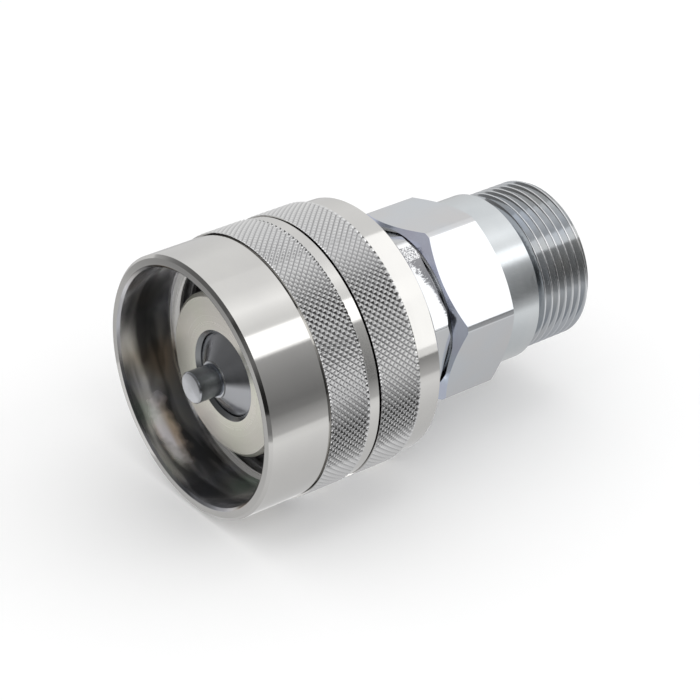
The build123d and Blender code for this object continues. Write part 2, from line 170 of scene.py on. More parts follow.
# Poppet
PIN_START = 0.8
PIN_END = 7.35
PIN_R = 4.07
PIN_CHAMFER = 0.35
PIN_COLLAR = 0.35
PIN_COLLAR_R = PIN_R + 0.6
POPPET_EDGE = NOSE_START + 1.3
POPPET_CONE = POPPET_EDGE + 2.3
POPPET_R = NOSE_HOLE_R - 0.19
POPPET_RIM_R = 12.052
POPPET_SEAL = (POPPET_CONE + 1.5, POPPET_CONE + 3.4)
POPPET_SEAL_R = NOSE_HOLE_R - 4.2
POPPET_SPIGOT_END = POPPET_SEAL[1] + 3.6
POPPET_SPIGOT_R = 4.5
POPPET_ROUNDING = 0.08

# Port adapter
ADAPTER_START = SEAL_BORE[0] + 0.05
ADAPTER_SPIGOT_R = SEAL_BORE_R - THREAD_GAP
ADAPTER_GROOVE = (SEAL_BORE[1] - 3.3, SEAL_BORE[1] - 0.1)
ADAPTER_GROOVE_R = ADAPTER_SPIGOT_R - 1.9
ADAPTER_THREAD_START = 53.4
ADAPTER_THREAD_R = BODY_THREAD_R - THREAD_GAP
ADAPTER_COLLAR_R = 19.6
ADAPTER_HEX = (BODY_HEX[1] + 0.8, BODY_HEX[1] + 19.6)
ADAPTER_CORNER_R = ADAPTER_FLATS / 2 + 2.95
ADAPTER_CORNER_AT = 49.8
ADAPTER_FACE_R = ADAPTER_FLATS / 2 - 0.7
ADAPTER_EDGE = 0.1
HEX_SLOPE = tan(radians(30))      # of the cones that break a hexagon's corners
NECK_R = ADAPTER_FLATS / 2 - 0.35

# Port
PORT_SHOULDER = ADAPTER_HEX[1] + 9.1
PORT_RELIEF = (PORT_SHOULDER + 1.6, PORT_SHOULDER + 2.9)    # from its floor's end to the crests
PORT_RELIEF_R = PORT_R - 1.65
PORT_END = PORT_SHOULDER + 18.65
PORT_CHAMFER = 1.4
PORT_DIE_START = 0.9              # behind the shoulder
PORT_DIE_TURNS = 9
THREAD_HALF_ANGLE = 27.5
CREST_ROUND = 0.317
CREST_LEANS = (64, 45, THREAD_HALF_ANGLE)     # of a crest's rounded side, step by step
CREST_HALF = 0.05
ROOT_HALF = 0.15
PORT_BORE_R = 12.5
PORT_CONE_R = PORT_BORE_R + 3.0
PORT_CONE_START = PORT_END - 5.2


def x(station):
    """Place along X, in metres, of a station in millimetres."""
    return (station - PORT_RELIEF[1]) * MM


# Mesh tools


def outline(corners, edge=0.0, closed=True):
    """A half section as a wire of (station, radius) corners, its corners rounded by edge."""
    bm = bmesh.new()
    verts = [bm.verts.new((x(station), radius * MM, 0)) for station, radius in corners]
    ends = verts[1:] + (verts[:1] if closed else [])
    for a, b in zip(verts, ends):
        bm.edges.new((a, b))
    if edge:
        inner = [v for v in verts if len(v.link_edges) == 2]
        bmesh.ops.bevel(
            bm, geom=inner, offset=edge * MM, offset_type="OFFSET", affect="VERTICES",
            segments=EDGE_STEPS, profile=0.5, clamp_overlap=True, material=-1,
        )
    return bm


def spin_round(bm, steps=ROUND):
    """Turns a wire about the axis into a closed skin."""
    bmesh.ops.spin(
        bm, geom=bm.verts[:] + bm.edges[:], cent=(0, 0, 0), axis=(1, 0, 0),
        angle=2 * pi, steps=steps, use_merge=True,
    )
    bmesh.ops.remove_doubles(bm, verts=bm.verts, dist=1e-7)
    bmesh.ops.recalc_face_normals(bm, faces=bm.faces)
    return bm


def as_piece(bm, name):
    """A mesh object from a bmesh."""
    mesh = bpy.data.meshes.new(name)
    bm.to_mesh(mesh)
    bm.free()
    piece = bpy.data.objects.new(name, mesh)
    bpy.context.scene.collection.objects.link(piece)
    return piece


def turned(name, corners, edge=0.0, closed=True, steps=ROUND):
    """A piece turned from its half section."""
    return as_piece(spin_round(outline(corners, edge, closed), steps), name)


def machine(blank, tool, operation="DIFFERENCE"):
    """Cuts a tool's shape out of a blank, or joins the two, and removes the tool."""
    step = blank.modifiers.new("machining", "BOOLEAN")
    step.operation = operation
    step.solver = "EXACT"
    step.object = tool
    bpy.context.view_layer.update()
    result = bpy.data.meshes.new_from_object(
        blank.evaluated_get(bpy.context.evaluated_depsgraph_get())
    )
    blank.modifiers.clear()
    blank.data = result
    bpy.data.objects.remove(tool)
    return blank


def bar_with_flats(name, corners, flats, corner_at, edge):
    """A turned bar whose six flats are milled, with one corner at an angle."""
    bm = spin_round(outline(corners, edge, closed=False))
    for side in range(6):
        turn_angle = radians(corner_at + 30 + 60 * side)
        outward = Vector((0, cos(turn_angle), sin(turn_angle)))
        result = bmesh.ops.bisect_plane(
            bm, geom=bm.verts[:] + bm.edges[:] + bm.faces[:], dist=1e-7,
            plane_co=outward * flats / 2 * MM, plane_no=outward, clear_outer=True,
        )
        rim = [e for e in result["geom_cut"] if isinstance(e, bmesh.types.BMEdge)]
        bmesh.ops.holes_fill(bm, edges=rim, sides=0)
    bmesh.ops.recalc_face_normals(bm, faces=bm.faces)
    return as_piece(bm, name)


def thread_tool(name, section, pitch, start, turns, phase):
    """The shape that a threading tool sweeps: its section winds right-handed from a station.

    The section's corners are (distance along the axis, radius), and phase is the angle where
    its middle passes the start.
    """
    bm = bmesh.new()
    turn_angle = radians(phase)
    verts = [
        bm.verts.new((x(start + along), r * MM * cos(turn_angle), r * MM * sin(turn_angle)))
        for along, r in section
    ]
    cap = bm.faces.new(verts)
    bmesh.ops.spin(
        bm, geom=[cap], cent=(0, 0, 0), axis=(1, 0, 0), dvec=(pitch * MM / THREAD_STEPS, 0, 0),
        angle=2 * pi * turns, steps=THREAD_STEPS * turns, use_duplicate=False,
    )
    bmesh.ops.recalc_face_normals(bm, faces=bm.faces)
    return as_piece(bm, name)


def groove(stations, floor_r, wall_r):
    """The four corners of a square groove in a half section."""
    first, last = stations
    return [(first, wall_r), (first, floor_r), (last, floor_r), (last, wall_r)]


def knurl_rows(start, end):
    """Corners of a band that is fine enough for the knurl, with its two ends chamfered."""
    step = 2 * pi * KNURL_R / DIAMONDS / DIAMOND_PARTS
    count = int((end - start) / step)
    stations = [start + k * step for k in range(count + 1)] + [end]
    return [
        (s, min(KNURL_R, KNURL_R - KNURL_CHAMFER + min(s - start, end - s))) for s in stations
    ]


def knurl(piece, start, end):
    """Presses diamonds into a band of a piece, and splits its facets along their valleys."""
    bm = bmesh.new()
    bm.from_mesh(piece.data)
    cell = 2 * pi * KNURL_R / DIAMONDS      # a diamond's width round the band, in millimetres
    low_x, high_x = x(start), x(end)
    lowest = (KNURL_ROOT_R - 0.2) * MM
    heights = {}
    for v in bm.verts:
        radius = hypot(v.co.y, v.co.z)
        if not low_x - 1e-6 < v.co.x < high_x + 1e-6 or radius < lowest:
            continue
        along = (v.co.x - low_x) / MM / cell
        around = atan2(v.co.z, v.co.y) * DIAMONDS / (2 * pi)
        across = [abs((along + turn * around + 0.5) % 1 - 0.5) for turn in (1, -1)]
        height = min(1, 2 * min(across) * KNURL_BLUNTING)
        heights[v] = height
        fade = min(1, min(v.co.x - low_x, high_x - v.co.x) / (KNURL_RUN_OUT * MM))
        lowered = radius - KNURL_DEPTH * MM * (1 - height) * max(KNURL_LEAST_DEPTH, fade)
        v.co.y *= lowered / radius
        v.co.z *= lowered / radius
    for face in [f for f in bm.faces if all(v in heights for v in f.verts)]:
        face.smooth = False
        if len(face.verts) == 4:
            a, b, c, d = face.verts
            if heights[a] + heights[c] < heights[b] + heights[d]:
                bmesh.utils.face_split(face, a, c)
            else:
                bmesh.utils.face_split(face, b, d)
    bm.to_mesh(piece.data)
    bm.free()


def dress(piece, body, material, nodes):
    """Shades a finished piece, hangs it on the body that it rides on, and hides the imported nodes
    that it stands for.
    """
    mesh = piece.data
    bm = bmesh.new()
    bm.from_mesh(mesh)
    for face in bm.faces:
        face.smooth = True
    for edge in bm.edges:
        edge.smooth = len(edge.link_faces) == 2 and edge.calc_face_angle() < radians(SHARP)
    bm.to_mesh(mesh)
    bm.free()
    mesh.materials.clear()
    mesh.materials.append(material)
    even = piece.modifiers.new("even shading", "WEIGHTED_NORMAL")
    even.mode = "FACE_AREA"
    even.weight = 50
    even.keep_sharp = True
    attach(piece, body)
    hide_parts(*nodes)
    return piece


# Shader tools


def new_material(name):
    """A material with its node tree and its main shader."""
    material = bpy.data.materials.new(name)
    material.use_nodes = True
    tree = material.node_tree
    return material, tree, tree.nodes["Principled BSDF"]


def node(tree, kind, inputs=None, **settings):
    """A shader node with its settings, and its inputs by name or number: a value or a socket."""
    made = tree.nodes.new(kind)
    for key, value in settings.items():
        setattr(made, key, value)
    for key, value in (inputs or {}).items():
        if isinstance(value, bpy.types.NodeSocket):
            tree.links.new(value, made.inputs[key])
        else:
            made.inputs[key].default_value = value
    return made


def calc(tree, operation, a, b=0.0):
    return node(tree, "ShaderNodeMath", {0: a, 1: b}, operation=operation).outputs[0]


def times(tree, a, b):
    return calc(tree, "MULTIPLY", a, b)


def plus(tree, a, b):
    return calc(tree, "ADD", a, b)


def minus(tree, a, b):
    return calc(tree, "SUBTRACT", a, b)


def remap(tree, value, low, high, to_low=0.0, to_high=1.0):
    """Stretches what lies between low and high to another range, and holds it at the ends."""
    return node(tree, "ShaderNodeMapRange", {
        "Value": value, "From Min": low, "From Max": high, "To Min": to_low, "To Max": to_high,
    }).outputs[0]


def noise(tree, place, scale, detail=2.0, distortion=0.0):
    return node(tree, "ShaderNodeTexNoise", {
        "Vector": place, "Scale": scale, "Detail": detail, "Distortion": distortion,
    }).outputs[0]


def ramp(tree, value, stops):
    """Colours or greys at places from 0 to 1."""
    made = node(tree, "ShaderNodeValToRGB", {"Fac": value})
    elements = made.color_ramp.elements
    while len(elements) < len(stops):
        elements.new(0.5)
    for element, (place, colour) in zip(elements, stops):
        element.position = place
        element.color = (*colour, 1)
    return made.outputs[0]


def mixed_colour(tree, share, first, second, how="MIX"):
    """One colour turning into another, each a colour or a socket."""
    first, second = ((*c, 1) if isinstance(c, tuple) else c for c in (first, second))
    inputs = {"Factor": share, 6: first, 7: second}
    return node(tree, "ShaderNodeMix", inputs, data_type="RGBA", blend_type=how).outputs[2]


def mixed_value(tree, share, first, second):
    return node(tree, "ShaderNodeMix", {"Factor": share, 2: first, 3: second}).outputs[0]


def object_place(tree):
    return node(tree, "ShaderNodeTexCoord").outputs["Object"]


def axes_of(tree, place):
    return node(tree, "ShaderNodeSeparateXYZ", {0: place}).outputs


def lathe_coordinates(tree):
    """Station and radius of a point, in metres, as the tool that turned it would know them."""
    place = object_place(tree)
    parts = axes_of(tree, place)
    radius = calc(tree, "SQRT", plus(tree, *(times(tree, parts[k], parts[k]) for k in (1, 2))))
    return place, parts[0], radius


def angle_about(tree, place):
    """The angle of a point about the axis."""
    parts = axes_of(tree, place)
    return times(tree, calc(tree, "ARCTAN2", parts[2], parts[1]), 180 / pi)


def between(tree, value, start, end):
    """One between two values, and nothing outside them."""
    past = calc(tree, "GREATER_THAN", value, start)
    before = calc(tree, "LESS_THAN", value, end)
    return times(tree, past, before)


# Materials


# A part of a plated piece that is finished in another way, and in some of them light or shade is
# painted into the colour. share_of gives how far a point is in it, colour and second are two
# colours that drift into each other, marks is the share of the tool marks that it keeps, waves how
# far its polish is uneven, which smears what it mirrors and makes its colours run in streaks, and
# metal how far it still mirrors.
Zone = namedtuple(
    "Zone", "share_of colour second roughness marks waves metal", defaults=(1.0, 0.0, 1.0),
)

# The tints that a thin oily film gives an unpolished bore
FILM = [
    (0.32, (0.82, 1.06, 0.90)), (0.42, (1.0, 1.0, 1.0)), (0.50, (0.96, 0.98, 1.08)),
    (0.60, (1.0, 0.97, 0.95)), (0.70, (1.40, 1.04, 0.72)),
]


def plated(name, colour, second, roughness, marks, zones=()):
    """Bright plate over turned steel, with fine tool marks that run round the axis.

    Its colour drifts from colour to second and back, and marks is how strong the marks show.
    """
    material, tree, shader = new_material(name)
    place, station, radius = lathe_coordinates(tree)
    lathe = node(tree, "ShaderNodeCombineXYZ", {0: station, 1: radius, 2: 0.0}).outputs[0]
    stretched = node(tree, "ShaderNodeMapping", {"Vector": place, "Scale": (4.0, 1.0, 1.0)})
    smear = noise(tree, stretched.outputs[0], 42.0, distortion=0.5)
    streaks = remap(tree, smear, 0.40, 0.60)
    film = ramp(tree, noise(tree, place, 38.0, 1.0), FILM)
    drift = remap(tree, noise(tree, place, 55.0, 4.0), 0.35, 0.65)
    base = mixed_colour(tree, drift, colour, second)
    fine = noise(tree, lathe, 5200.0, 3.0)
    broad = noise(tree, lathe, 700.0)
    height = plus(tree, times(tree, broad, 0.5), fine)
    speck = times(tree, noise(tree, place, 900.0), 0.06)
    gloss = remap(tree, plus(tree, speck, height), 0.3, 1.2, 0.75, 1.25)
    dullness = roughness
    metal = 1.0
    for zone in zones:
        share = zone.share_of(tree, station, radius)
        inside = mixed_colour(tree, streaks if zone.waves else drift, zone.colour, zone.second)
        if zone.waves:
            inside = mixed_colour(tree, 1.0, inside, film, "MULTIPLY")
        base = mixed_colour(tree, share, base, inside)
        if zone.metal < 1:
            metal = mixed_value(tree, share, metal, zone.metal)
        uneven = plus(tree, times(tree, height, zone.marks), times(tree, smear, zone.waves))
        height = mixed_value(tree, share, height, uneven)
        dullness = mixed_value(tree, share, dullness, zone.roughness)
    tree.links.new(base, shader.inputs["Base Color"])
    tree.links.new(times(tree, gloss, dullness), shader.inputs["Roughness"])
    if isinstance(metal, float):
        shader.inputs["Metallic"].default_value = metal
    else:
        tree.links.new(metal, shader.inputs["Metallic"])
    bump = node(tree, "ShaderNodeBump", {"Height": height, "Strength": marks, "Distance": 2e-5})
    tree.links.new(bump.outputs[0], shader.inputs["Normal"])
    return material


def brushed_round(material, amount):
    """Draws a metal's gloss out along the axis, as fine marks round it do."""
    tree = material.node_tree
    shader = tree.nodes["Principled BSDF"]
    shader.inputs["Anisotropic"].default_value = amount
    shader.inputs["Anisotropic Rotation"].default_value = 0.25
    tangent = node(tree, "ShaderNodeTangent", direction_type="RADIAL", axis="X")
    tree.links.new(tangent.outputs[0], shader.inputs["Tangent"])


def moulded(name, colour, roughness):
    """Rubber or plastic with a soft mottled skin."""
    material, tree, shader = new_material(name)
    skin = noise(tree, object_place(tree), 800.0, 4.0)
    light = tuple(min(1, c * 1.35 + 0.01) for c in colour)
    tree.links.new(mixed_colour(tree, skin, colour, light), shader.inputs["Base Color"])
    dullness = remap(tree, skin, 0.0, 1.0, roughness * 0.8, roughness * 1.2)
    tree.links.new(dullness, shader.inputs["Roughness"])
    bump = node(tree, "ShaderNodeBump", {"Height": skin, "Strength": 0.25, "Distance": 2e-5})
    tree.links.new(bump.outputs[0], shader.inputs["Normal"])
    return material


def ring_zone(stations, radii):
    """The zone between two stations and two radii, in millimetres."""
    def share_of(tree, station, radius):
        along = between(tree, station, x(stations[0]), x(stations[1]))
        return times(tree, along, between(tree, radius, radii[0] * MM, radii[1] * MM))

    return share_of


def valleys(stations):
    """The bottom of the knurl's grooves between two stations, painted darker as shade."""
    def share_of(tree, station, radius):
        full, none = ((KNURL_ROOT_R + over) * MM for over in VALLEY_SHADE)
        shaded = remap(tree, radius, full, none, 1.0, 0.0)
        return times(tree, shaded, between(tree, station, x(stations[0]), x(stations[1])))

    return share_of


def adapter_chamfer(tree, station, radius):
    """The cone that breaks the front corners of the adapter's hexagon."""
    rise = times(tree, minus(tree, radius, ADAPTER_FACE_R * MM), HEX_SLOPE)
    edge = plus(tree, rise, x(ADAPTER_HEX[0] + 0.04))
    on_hexagon = between(tree, station, x(ADAPTER_HEX[0] - 0.1), x(ADAPTER_HEX[1]))
    return times(tree, calc(tree, "LESS_THAN", station, edge), on_hexagon)


def painted_gap_shadow_and_streaks(tree, station, radius):
    """Painted shadow on one flat of the body's hexagon, wide near its corner and ragged, and
    painted reflection streaks.
    """
    angle = angle_about(tree, object_place(tree))
    width = remap(tree, angle, GAP_SHADOW_FROM[0], GAP_SHADOW_TO[0], GAP_SHADOW_FROM[1] * MM, GAP_SHADOW_TO[1] * MM)
    strokes = node(tree, "ShaderNodeCombineXYZ", {0: angle, 1: times(tree, station, 400.0)})
    ragged = noise(tree, strokes.outputs[0], 2.2)
    reach = times(tree, width, remap(tree, ragged, 0.3, 0.7, 0.35, 1.35))
    start = minus(tree, x(BODY_HEX[1]), reach)
    gap_shade = remap(tree, minus(tree, station, start), 0, 0.4 * MM)
    gap_shade = times(tree, gap_shade, between(tree, angle, *GAP_SHADOW_ANGLES))
    streak_place = node(tree, "ShaderNodeCombineXYZ", {0: angle, 1: times(tree, station, 1500.0)})
    streaked = remap(tree, noise(tree, streak_place.outputs[0], 1.5), 0.46, 0.56)
    streaked = times(tree, streaked, between(tree, angle, *REFLECTION_STREAK_ANGLES))
    behind = calc(tree, "GREATER_THAN", station, x(BODY_HEX[0] + REFLECTION_STREAK_SETBACK))
    either = calc(tree, "MAXIMUM", gap_shade, times(tree, streaked, behind))
    return times(tree, either, between(tree, station, x(BODY_HEX[0]), x(BODY_HEX[1])))


def painted_light_patch(tree, station, radius):
    """A patch of painted light low in the sleeve's bore, soft at its ragged edge."""
    place = object_place(tree)
    along = times(tree, minus(tree, station, x(LIGHT_PATCH_AT[0])), 1 / (LIGHT_PATCH_REACH[0] * MM))
    turn_angle = minus(tree, angle_about(tree, place), LIGHT_PATCH_AT[1])
    around = times(tree, turn_angle, 1 / LIGHT_PATCH_REACH[1])
    out = calc(tree, "SQRT", plus(tree, times(tree, around, around), times(tree, along, along)))
    out = plus(tree, out, remap(tree, noise(tree, place, 240.0), 0.3, 0.7, -0.3, 0.3))
    return times(tree, remap(tree, out, 0.35, 1.15, 1.0, 0.0), sleeve_bore(tree, station, radius))


KNURLED_R = (KNURL_GROOVE_R + 0.1, KNURL_R + 1)
NOSE_HOLE_RIM_R = NOSE_HOLE_R + NOSE_HOLE_CHAMFER + 0.03

sleeve_bore = ring_zone((-1, COUNTERBORE_DEPTH - 0.05), (0, MOUTH_R + 0.1))
# A lighter, less metallic copy of the plate over the socket thread: painted light in its shade
lightened_socket_thread = ring_zone(
    (COUNTERBORE_DEPTH, THRUST_FACE), (SLEEVE_MINOR_R - 0.1, SLEEVE_RELIEF_R + 0.1),
)
front_knurling = ring_zone(FRONT_KNURL, KNURLED_R)
rear_knurling = ring_zone(REAR_KNURL, KNURLED_R)
nose_plate = ring_zone((NOSE_START - 1, THRUST_FACE), (NOSE_HOLE_RIM_R, NOSE_R + 1))
# The nose's hole and its chamfer are coloured dark: painted shade in the hole
shaded_nose_hole = ring_zone((NOSE_START - 1, GUIDE[0]), (0, NOSE_HOLE_RIM_R))
# A darker copy of the poppet steel on the pin's side: painted shade for the dark that it mirrors
shaded_pin_side = ring_zone(
    (PIN_START + PIN_CHAMFER - 0.05, PIN_END + 0.05), (PIN_R - 0.17, PIN_R + 0.13),
)
neck_plate = ring_zone(
    (ADAPTER_HEX[1] + 0.05, PORT_SHOULDER + 0.5), (PORT_RELIEF_R + 0.195, NECK_R + 1),
)
# The port thread's flanks and roots are a darker copy of the plate: painted shade in the grooves
shaded_thread_flanks = ring_zone(
    (PORT_SHOULDER + 0.5, PORT_END), (PORT_CONE_R + 1.5, PORT_R - 0.12),
)

# The knurls' crests are a lighter copy of the plate, painted light, and their valleys a darker
# copy, painted shade
CREST_PAINTED_LIGHT = ((0.68, 0.68, 0.675), (0.63, 0.63, 0.635), 0.10)
VALLEY_PAINTED_SHADE = ((0.42, 0.42, 0.425), (0.48, 0.48, 0.485), 0.18)

sleeve_plate = plated(
    "bright nickel plate", (0.615, 0.608, 0.590), (0.58, 0.572, 0.56), roughness=0.09, marks=0.10,
    zones=[
        # Painted reflection streaks: the bore's colour runs in smeared streaks from the plate to
        # near black
        Zone(sleeve_bore, (0.60, 0.595, 0.58), (0.15, 0.15, 0.15), 0.14, waves=22.0, metal=0.86),
        # Painted light: a pale lilac patch low in the bore, streaked with brown and less metallic
        Zone(painted_light_patch, (0.86, 0.82, 0.84), (0.64, 0.51, 0.39), 0.20, waves=22.0, metal=0.35),
        # Painted light in the socket thread
        Zone(lightened_socket_thread, (0.74, 0.73, 0.71), (0.68, 0.675, 0.66), 0.25, metal=0.78),
        # Painted light on the knurls' crests, and painted shade in the valleys between them
        Zone(front_knurling, *CREST_PAINTED_LIGHT),
        Zone(rear_knurling, *CREST_PAINTED_LIGHT),
        Zone(valleys(FRONT_KNURL), *VALLEY_PAINTED_SHADE),
        Zone(valleys(REAR_KNURL), *VALLEY_PAINTED_SHADE),
    ],
)
adapter_plate = plated(
    "bright zinc plate", (0.585, 0.61, 0.64), (0.605, 0.60, 0.605), roughness=0.12, marks=0.10,
    zones=[
        Zone(adapter_chamfer, (0.58, 0.64, 0.75), (0.56, 0.57, 0.70), 0.15),
        Zone(neck_plate, (0.61, 0.635, 0.65), (0.55, 0.58, 0.60), 0.20),
        # Painted shade in the port thread's grooves
        Zone(shaded_thread_flanks, (0.49, 0.515, 0.55), (0.54, 0.545, 0.54), 0.09, marks=2.0),
    ],
)
body_plate = plated(
    "bright zinc body plate", (0.595, 0.62, 0.645), (0.605, 0.60, 0.60), roughness=0.14, marks=0.12,
    zones=[
        Zone(nose_plate, (0.71, 0.678, 0.628), (0.685, 0.68, 0.59), 0.30, marks=0.05, metal=0.75),
        # Painted shade in the nose's hole
        Zone(shaded_nose_hole, (0.24, 0.25, 0.26), (0.34, 0.35, 0.36), 0.22),
        # Painted shadow by the gap behind the body's hexagon, and painted reflection streaks on its
        # flat
        Zone(painted_gap_shadow_and_streaks, (0.13, 0.135, 0.145), (0.21, 0.21, 0.22), 0.25),
    ],
)
poppet_steel = plated(
    "turned poppet steel", (0.55, 0.56, 0.585), (0.51, 0.52, 0.545), roughness=0.22, marks=0.12,
    # Painted shade on the pin's side
    zones=[Zone(shaded_pin_side, (0.37, 0.395, 0.44), (0.33, 0.355, 0.40), 0.20)],
)
brushed_round(poppet_steel, 0.75)
bearing_steel = plated(
    "ground bearing steel", (0.70, 0.71, 0.73), (0.65, 0.66, 0.68), roughness=0.12, marks=0.05,
)
spring_steel = plated(
    "oiled spring wire", (0.40, 0.41, 0.43), (0.34, 0.34, 0.34), roughness=0.28, marks=0.10,
)
bronze = plated(
    "turned bronze", (0.70, 0.50, 0.28), (0.62, 0.42, 0.22), roughness=0.25, marks=0.15,
)
nitrile = moulded("black nitrile", (0.012, 0.012, 0.013), roughness=0.45)
urethane = moulded("hard urethane", (0.10, 0.13, 0.17), roughness=0.40)
ptfe = moulded("skived white plastic", (0.80, 0.79, 0.74), roughness=0.45)


# Pieces


def make_sleeve():
    """The front sleeve, with its socket thread and the front knurl."""
    piece = turned("coupling_sleeve_turned", [
        (0, MOUTH_R), (0, FRONT_BAND_R - MOUTH_CHAMFER), (MOUTH_CHAMFER, FRONT_BAND_R),
        (FRONT_BAND_END, FRONT_BAND_R), (FRONT_BAND_END, KNURL_GROOVE_R),
        (FRONT_KNURL[0], KNURL_GROOVE_R), *knurl_rows(*FRONT_KNURL),
        (FRONT_KNURL[1] + BAND_STEP, MIDDLE_BAND_R), (SKIN_END - SKIN_CHAMFER, MIDDLE_BAND_R),
        (SKIN_END, MIDDLE_BAND_R - SKIN_CHAMFER), (SKIN_END, SPIGOT_R),
        (SPIGOT_END, SPIGOT_R), (SPIGOT_END, RACE_BORE_R),
        (THRUST_FACE, RACE_BORE_R), (THRUST_FACE, SLEEVE_MINOR_R),
        (SLEEVE_RELIEF_END, SLEEVE_MINOR_R), (SLEEVE_RELIEF_END, SLEEVE_RELIEF_R),
        (SLEEVE_THREAD_END, SLEEVE_RELIEF_R), (SLEEVE_THREAD_END, SLEEVE_MINOR_R),
        (COUNTERBORE_DEPTH + SLEEVE_LEAD_IN, SLEEVE_MINOR_R),
        (COUNTERBORE_DEPTH, SLEEVE_MINOR_R + SLEEVE_LEAD_IN),
        (COUNTERBORE_DEPTH, COUNTERBORE_R), (MOUTH_R - COUNTERBORE_R, COUNTERBORE_R),
    ], steps=DIAMONDS * DIAMOND_PARTS)
    station, angle = SLEEVE_GROOVE_AT
    first_turn, last_turn = SLEEVE_TAP_TURNS
    half_mouth = SLEEVE_GROOVE_WIDTH / 2
    half_root = SLEEVE_GROOVE_ROOT / 2
    slope = (half_mouth - half_root) / (SLEEVE_MAJOR_R - SLEEVE_MINOR_R)
    reach = 0.6
    section = [
        (-half_mouth - reach * slope, SLEEVE_MINOR_R - reach), (-half_root, SLEEVE_MAJOR_R),
        (half_root, SLEEVE_MAJOR_R), (half_mouth + reach * slope, SLEEVE_MINOR_R - reach),
    ]
    machine(piece, thread_tool(
        "sleeve_tap", section, SLEEVE_PITCH, station + first_turn * SLEEVE_PITCH,
        last_turn - first_turn, angle,
    ))
    dress(piece, "sleeve", sleeve_plate, ["coupling_sleeve"])
    knurl(piece, *FRONT_KNURL)


def make_lock_ring():
    """The rear ring, which is screwed over the sleeve's spigot."""
    bore_r = SHANK_R + SHANK_GAP
    piece = turned("sleeve_lock_ring_turned", [
        *knurl_rows(*REAR_KNURL),
        (REAR_KNURL[1] + BAND_STEP, REAR_BAND_R), (SLEEVE_END - REAR_CHAMFER, REAR_BAND_R),
        (SLEEVE_END, REAR_BAND_R - REAR_CHAMFER), (SLEEVE_END, bore_r),
        *groove(WIPER_GROOVE[::-1], WIPER_GROOVE_R, bore_r),
        (RACE_SEAT, bore_r), (RACE_SEAT, RACE_BORE_R), (SPIGOT_END, RACE_BORE_R),
        (SPIGOT_END, SPIGOT_R + THREAD_GAP), (REAR_KNURL[0], SPIGOT_R + THREAD_GAP),
    ], steps=DIAMONDS * DIAMOND_PARTS)
    dress(piece, "sleeve", sleeve_plate, ["sleeve_lock_ring"])
    knurl(piece, *REAR_KNURL)


def make_body():
    """The valve body: nose, flange, shank and the first hexagon, bored from behind."""
    blank = turned("valve_body_turned", [
        (NOSE_START, 0), (NOSE_START, NOSE_R - NOSE_EDGE), (NOSE_START + NOSE_EDGE, NOSE_R),
        *groove(NOSE_GROOVE, NOSE_GROOVE_R, NOSE_R), (FLANGE[0], NOSE_R), (FLANGE[0], FLANGE_R),
        *groove(DRAG_GROOVE, DRAG_GROOVE_R, FLANGE_R), (FLANGE[1], FLANGE_R),
        (FLANGE[1], SHANK_R), (BODY_HEX[0], SHANK_R), (BODY_HEX[0], 0),
    ], edge=BODY_EDGE, closed=False)
    hex_root = BODY_HEX[0] - 2          # inside the shank, which it is joined to
    hexagon = bar_with_flats("body_hexagon", [
        (hex_root, 0), (hex_root, BODY_CORNER_R), (BODY_HEX[1] - BODY_HEX_CHAMFER, BODY_CORNER_R),
        (BODY_HEX[1], BODY_CORNER_R - BODY_HEX_CHAMFER), (BODY_HEX[1], 0),
    ], BODY_FLATS, BODY_CORNER_AT, BODY_EDGE)
    machine(blank, hexagon, "UNION")
    reach = 1                           # of the boring tool past both ends
    machine(blank, turned("body_bore", [
        (NOSE_START - reach, 0), (NOSE_START - reach, NOSE_HOLE_R + NOSE_HOLE_CHAMFER + reach),
        (NOSE_START + NOSE_HOLE_CHAMFER, NOSE_HOLE_R), (SEAT_START, NOSE_HOLE_R),
        (SEAT_START + CHAMBER_R - NOSE_HOLE_R, CHAMBER_R), (GUIDE[0], CHAMBER_R),
        (GUIDE[0], GUIDE_R), (GUIDE[1], GUIDE_R), (GUIDE[1], SNAP_GROOVE_R),
        (SEAL_BORE[0], SNAP_GROOVE_R), (SEAL_BORE[0], SEAL_BORE_R), (SEAL_BORE[1], SEAL_BORE_R),
        (SEAL_BORE[1], BODY_THREAD_R), (BODY_HEX[1] + reach, BODY_THREAD_R),
        (BODY_HEX[1] + reach, 0),
    ], closed=False))
    dress(blank, "valve_body", body_plate, ["valve_body"])


def port_thread_section():
    """A groove of the port thread: one side from over the rounded crest down, and its mirror."""
    half_mouth = PORT_PITCH / 2 - CREST_HALF
    reach = 0.35
    side = [(half_mouth + 0.02, PORT_R + reach), (half_mouth, PORT_R)]
    for lean in CREST_LEANS:
        side.append((
            PORT_PITCH / 2 - CREST_ROUND * cos(radians(lean)),
            PORT_R - CREST_ROUND * (1 - sin(radians(lean))),
        ))
    along, r = side[-1]
    side.append((ROOT_HALF, r - (along - ROOT_HALF) / tan(radians(THREAD_HALF_ANGLE))))
    return [(-along, r) for along, r in side] + side[::-1]


